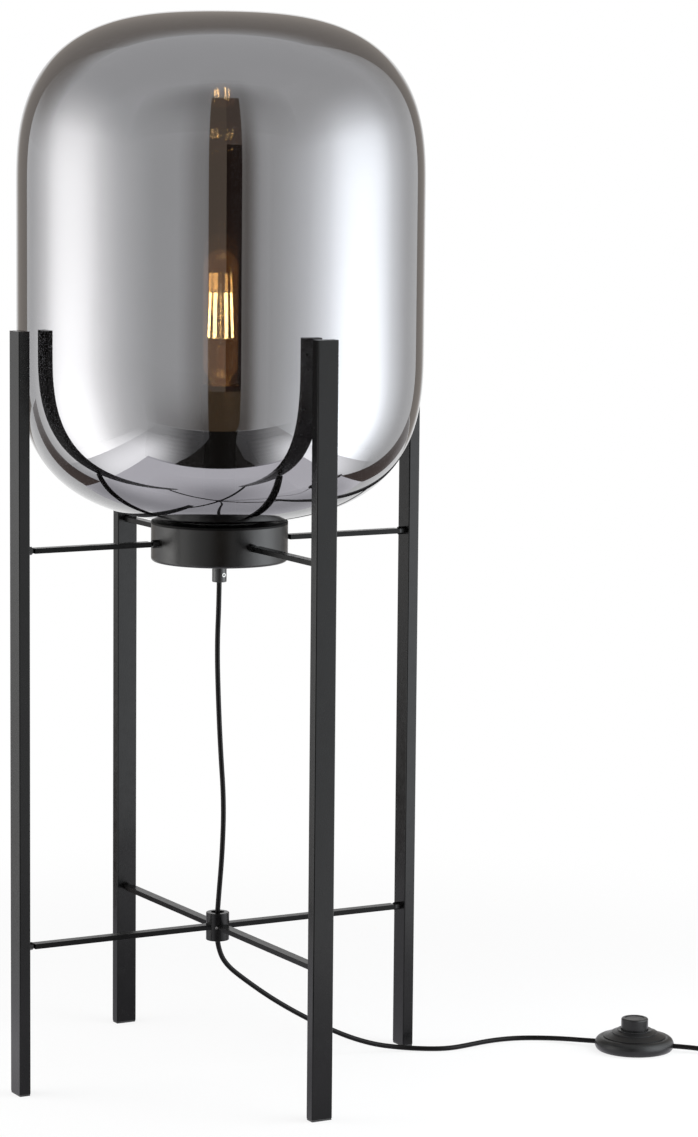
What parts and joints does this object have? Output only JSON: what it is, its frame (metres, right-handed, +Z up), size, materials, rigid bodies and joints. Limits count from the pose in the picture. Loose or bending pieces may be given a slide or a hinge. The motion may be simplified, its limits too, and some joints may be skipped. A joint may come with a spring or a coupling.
{
  "type": "floor lamp",
  "caption": "Floor lamp: a smoked half-mirror glass capsule on a flat black drum, held by flat bars between flat legs, with a hanging cord, a foot switch and a plug.",
  "frame": {"origin": "on the floor, on the axis of the drum and the glass, midway between the legs", "axes": "+Z up; the legs stand on +X, +Y, -X and -Y; the cord runs to +X and the foot switch lies at +X, -Y"},
  "size_m": [0.6521, 0.332, 0.7905],
  "materials": {
    "black_frame": "satin black powder coat",
    "black_drum": "satin black powder coat, slightly warm",
    "black_fastener": "black coated steel",
    "black_grip": "satin black moulding",
    "glide_plastic": "matt black",
    "zinc_steel": "bright zinc",
    "clear_rubber": "matt",
    "white_plastic": "matt white",
    "wire_plastic": "insulated wire",
    "brown_plastic": "dark brown phenolic",
    "socket_brass": "bright",
    "smoked_glass": "smoked half-mirror, gloss",
    "bulb_glass": "clear",
    "cap_metal": "nickel plated",
    "black_insulator": "black glass",
    "filament_yellow": "warm white when lit",
    "support_wire": "drawn wire",
    "switch_plastic": "charcoal, fine grain",
    "button_plastic": "charcoal, fine grain",
    "pad_rubber": "matt",
    "cord_plastic": "gloss black sheath",
    "tie_plastic": "matt black strap",
    "plug_plastic": "moulded black",
    "pin_metal": "nickel plated"
  },
  "bodies": {
    "stand": {"cord_coil": "cord_plastic", "cord_grip": "black_grip", "cord_grip_nut": "zinc_steel", "cord_lead": "cord_plastic", "cord_run": "cord_plastic", "cord_sleeve": "black_frame", "cord_tie": "tie_plastic", "drum_cup": "black_drum", "drum_inner_nuts": "zinc_steel", "drum_lid": "black_drum", "holder_base": "brown_plastic", "holder_centre_contact": "socket_brass", "holder_insert": "white_plastic", "holder_screw_shell": "socket_brass", "holder_sleeve": "brown_plastic", "lamp_column": "black_drum", "lead_wires": "wire_plastic", "leg_back_left": "black_frame", "leg_back_right": "black_frame", "leg_front_left": "black_frame", "leg_front_right": "black_frame", "leg_glides": "glide_plastic", "lid_posts": "zinc_steel", "lid_screws": "black_fastener", "lock_nuts": "black_fastener", "lower_bar_back_left": "black_frame", "lower_bar_back_right": "black_frame", "lower_bar_front_left": "black_frame", "lower_bar_front_right": "black_frame", "nipple_nuts": "zinc_steel", "nipple_tube": "zinc_steel", "plug_body": "plug_plastic", "plug_pins": "pin_metal", "plug_relief": "plug_plastic", "set_screws": "black_fastener", "shade_gasket": "clear_rubber", "shade_ring": "black_drum", "switch_contacts": "socket_brass", "switch_housing": "switch_plastic", "switch_mechanism": "white_plastic", "switch_pad": "pad_rubber", "switch_plate": "switch_plastic", "switch_screws": "zinc_steel", "switch_spring": "support_wire", "terminal_block": "white_plastic", "terminal_screws": "zinc_steel", "upper_bar_back_left": "black_frame", "upper_bar_back_right": "black_frame", "upper_bar_front_left": "black_frame", "upper_bar_front_right": "black_frame"},
    "shade": {"glass_shade_bowl": "smoked_glass", "glass_shade_crown": "smoked_glass"},
    "bulb_carrier": {"bulb_tip": "cap_metal"},
    "bulb": {"bulb_cap": "cap_metal", "bulb_insulator": "black_insulator", "bulb_envelope": "bulb_glass", "bulb_stem": "bulb_glass", "bulb_filaments": "filament_yellow", "bulb_supports": "support_wire"},
    "button": {"switch_button": "button_plastic"}
  },
  "joints": [
    {"name": "shade_lift", "type": "slide", "parent": "stand", "child": "shade", "axis": [0, 0, 1], "range_m": [0, 0.25]},
    {"name": "bulb_rise", "type": "slide", "parent": "stand", "child": "bulb_carrier", "axis": [0, 0, 1], "range_m": [0, 0.01128]},
    {"name": "bulb_turn", "type": "hinge", "parent": "bulb_carrier", "child": "bulb", "pos_m": [0, 0, 0.5], "axis": [0, 0, 1], "range_deg": [0, 1440]},
    {"name": "button_press", "type": "slide", "parent": "stand", "child": "button", "axis": [0, 0, -1], "range_m": [0, 0.0035], "stiffness_N_per_m": 1200, "springref_m": -0.005, "deforming": ["switch_spring"]}
  ],
  "couplings": [
    {"joint": "bulb_rise", "follows": "bulb_turn", "m_per_rad": 0.00044882}
  ]
}
